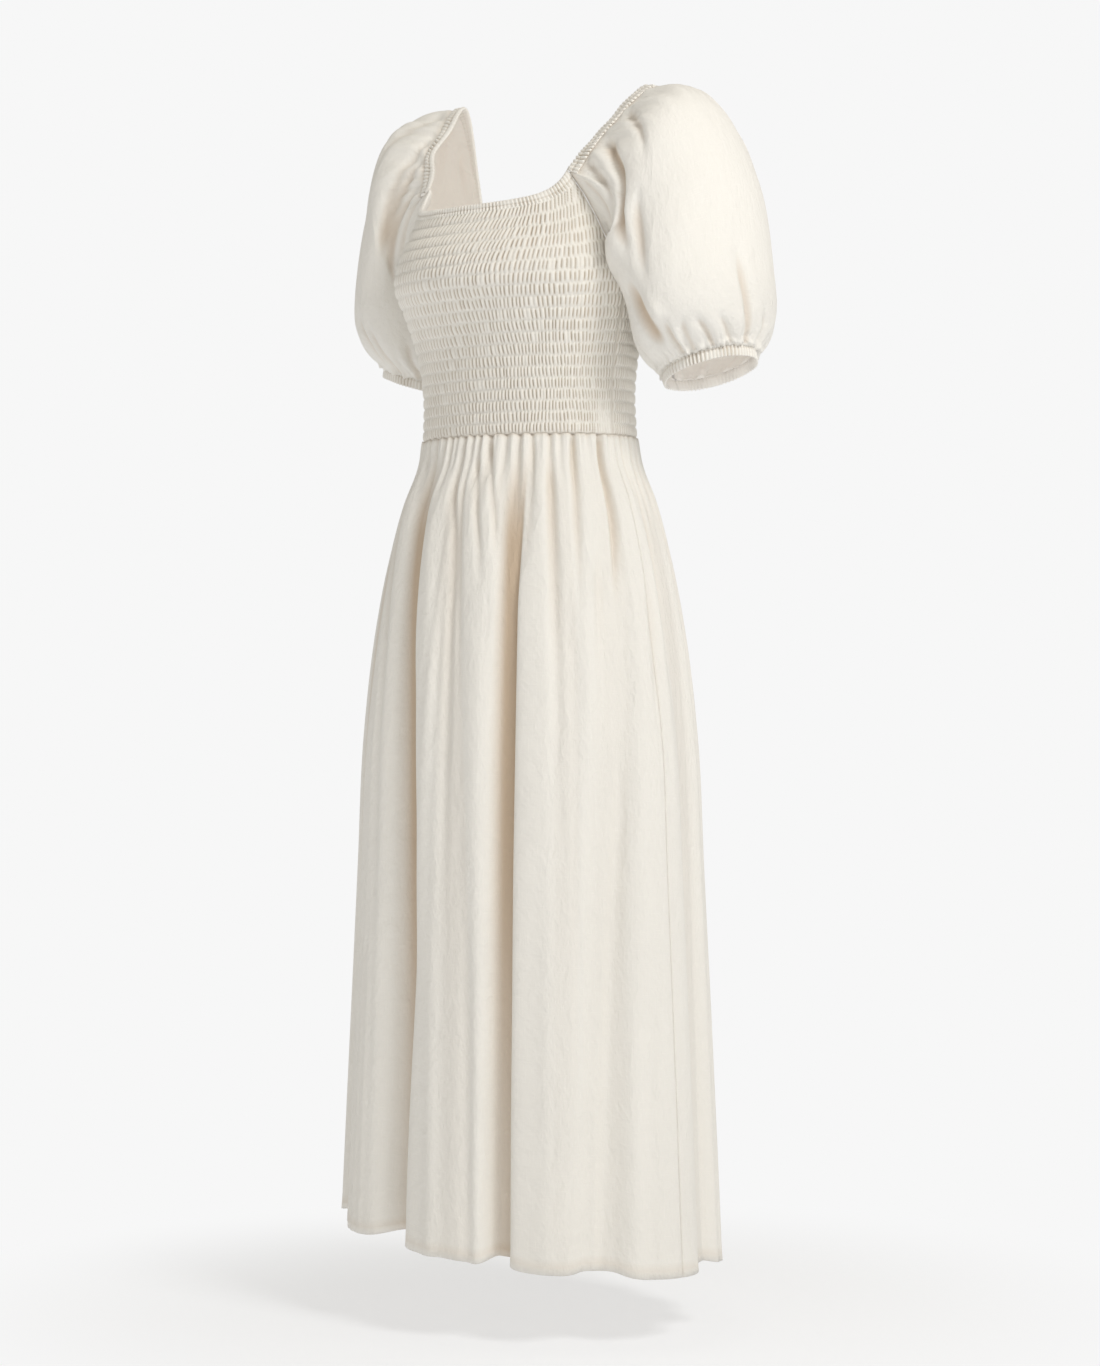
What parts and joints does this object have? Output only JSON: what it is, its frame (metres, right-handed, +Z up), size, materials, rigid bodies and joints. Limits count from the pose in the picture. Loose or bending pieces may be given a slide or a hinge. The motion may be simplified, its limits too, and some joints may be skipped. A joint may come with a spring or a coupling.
{
  "type": "peasant dress",
  "caption": "Midi peasant dress with a shirred bodice, wide scooped neckline, puffed elasticated short sleeves and a long gathered skirt, filled out as if worn.",
  "frame": {"origin": "midway between the two shoulder tops, where the elasticated neck edges of the sleeves rest on the wearer's shoulders and hold the dress up", "axes": "+Z up the dress, -Y out of its front, +X towards the wearer's left sleeve"},
  "size_m": [0.5368, 0.3467, 1.242],
  "materials": {
    "linen": "matt plain-woven cream linen with fine slubs",
    "smocked_linen": "cream linen gathered on close rows of elastic thread",
    "elastic_edge": "narrow cream linen casing ruched over elastic"
  },
  "bodies": {
    "root": {"bodice_front": "smocked_linen", "bodice_back": "smocked_linen", "skirt_front": "linen", "skirt_back": "linen", "sleeve_left": "linen", "sleeve_right": "linen", "cuff_left": "elastic_edge", "cuff_right": "elastic_edge", "neck_band_front": "elastic_edge", "neck_band_back": "elastic_edge", "neck_casing_left": "elastic_edge", "neck_casing_right": "elastic_edge"}
  },
  "joints": []
}
